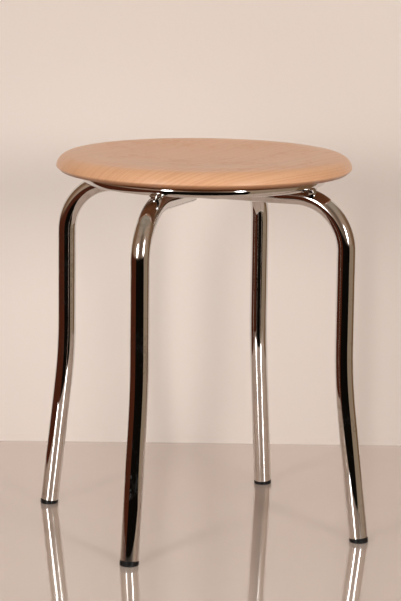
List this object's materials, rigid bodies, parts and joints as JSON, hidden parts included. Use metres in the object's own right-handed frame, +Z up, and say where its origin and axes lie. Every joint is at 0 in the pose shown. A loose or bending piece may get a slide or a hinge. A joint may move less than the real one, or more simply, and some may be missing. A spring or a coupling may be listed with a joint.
{
  "type": "stacking stool",
  "caption": "Low stool with a dished round beech seat, a chromed ring beneath it, and bent chromed tube legs with black foot caps.",
  "frame": {"origin": "centre of the stool on the floor, below the middle of the seat", "axes": "+Z up along the stool's axis, -Y the front, legs on the diagonals"},
  "size_m": [0.3499, 0.3499, 0.45],
  "materials": {
    "beech": "clear satin lacquer",
    "chrome": "polished",
    "zinc_steel": "zinc plated",
    "black_plastic": "semi-gloss moulded"
  },
  "bodies": {
    "root": {"seat": "beech", "support_ring": "chrome", "leg_frame_over": "chrome", "leg_frame_under": "chrome", "seat_lug_right": "chrome", "seat_lug_back": "chrome", "seat_lug_left": "chrome", "seat_lug_front": "chrome", "seat_screws": "zinc_steel", "foot_cap_front_right": "black_plastic", "foot_cap_back_right": "black_plastic", "foot_cap_back_left": "black_plastic", "foot_cap_front_left": "black_plastic"}
  },
  "joints": []
}
